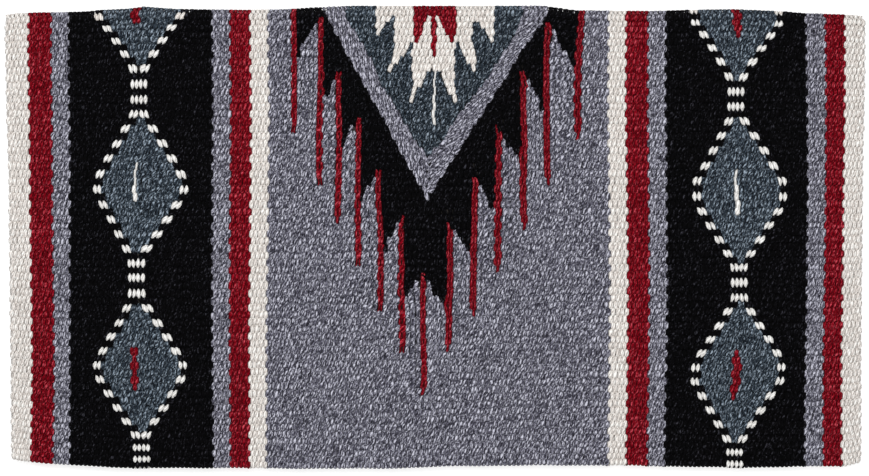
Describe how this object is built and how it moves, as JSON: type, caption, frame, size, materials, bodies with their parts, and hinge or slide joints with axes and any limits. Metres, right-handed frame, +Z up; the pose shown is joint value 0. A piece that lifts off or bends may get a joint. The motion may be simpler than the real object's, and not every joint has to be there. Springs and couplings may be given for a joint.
{
  "type": "saddle blanket",
  "caption": "Thick hand-woven wool saddle blanket in tapestry weave, folded in half along the spine, with end stripes, diamonds and a serrated chevron.",
  "frame": {"origin": "centre of the folded blanket's footprint, on the surface that it lies on", "axes": "+X along the spine, towards the right end of the picture; +Y across the blanket, towards the fold; +Z up"},
  "size_m": [0.864, 0.457, 0.0153],
  "materials": {
    "cream_wool": "undyed cream wool, matte, coarse two-ply weft",
    "red_wool": "deep red wool, matte, coarse two-ply weft",
    "grey_wool": "heathered cool grey wool, matte, coarse two-ply weft",
    "slate_wool": "heathered slate blue wool, matte, coarse two-ply weft",
    "black_wool": "black wool, matte, coarse two-ply weft"
  },
  "bodies": {
    "off_half": {"off_black_band_left": "black_wool", "off_black_band_right": "black_wool", "off_chevron": "black_wool", "off_core": "red_wool", "off_field": "grey_wool", "off_fold_diamond_left": "slate_wool", "off_fold_diamond_right": "slate_wool", "off_fold_rib": "grey_wool", "off_inner_cream_left": "cream_wool", "off_inner_cream_right": "cream_wool", "off_inner_grey_left": "grey_wool", "off_inner_grey_right": "grey_wool", "off_inner_red_left": "red_wool", "off_inner_red_right": "red_wool", "off_lower_diamond_left": "slate_wool", "off_lower_diamond_right": "slate_wool", "off_middle_diamond_left": "slate_wool", "off_middle_diamond_right": "slate_wool", "off_outer_cream_left": "cream_wool", "off_outer_cream_right": "cream_wool", "off_outer_grey_left": "grey_wool", "off_outer_grey_right": "grey_wool", "off_outer_red_left": "red_wool", "off_outer_red_right": "red_wool", "off_star": "cream_wool", "off_v_band": "grey_wool", "off_v_ground": "slate_wool"},
    "near_half": {"near_black_band_left": "black_wool", "near_black_band_right": "black_wool", "near_chevron": "black_wool", "near_core": "red_wool", "near_field": "grey_wool", "near_fold_diamond_left": "slate_wool", "near_fold_diamond_right": "slate_wool", "near_fold_rib": "grey_wool", "near_inner_cream_left": "cream_wool", "near_inner_cream_right": "cream_wool", "near_inner_grey_left": "grey_wool", "near_inner_grey_right": "grey_wool", "near_inner_red_left": "red_wool", "near_inner_red_right": "red_wool", "near_lower_diamond_left": "slate_wool", "near_lower_diamond_right": "slate_wool", "near_middle_diamond_left": "slate_wool", "near_middle_diamond_right": "slate_wool", "near_outer_cream_left": "cream_wool", "near_outer_cream_right": "cream_wool", "near_outer_grey_left": "grey_wool", "near_outer_grey_right": "grey_wool", "near_outer_red_left": "red_wool", "near_outer_red_right": "red_wool", "near_star": "cream_wool", "near_v_band": "grey_wool", "near_v_ground": "slate_wool"},
    "outer_rib": {"outer_fold_rib": "grey_wool"}
  },
  "joints": [
    {"name": "fold_opening", "type": "hinge", "parent": "off_half", "child": "near_half", "pos_m": [0, 0.22507, 0.00765], "axis": [-1, 0, 0], "range_deg": [0, 180]},
    {"name": "outer_rib_roll", "type": "hinge", "parent": "off_half", "child": "outer_rib", "pos_m": [0, 0.22507, 0.00765], "axis": [-1, 0, 0], "range_deg": [0, 90]}
  ],
  "couplings": [
    {"joint": "outer_rib_roll", "follows": "fold_opening", "ratio": 0.5}
  ]
}
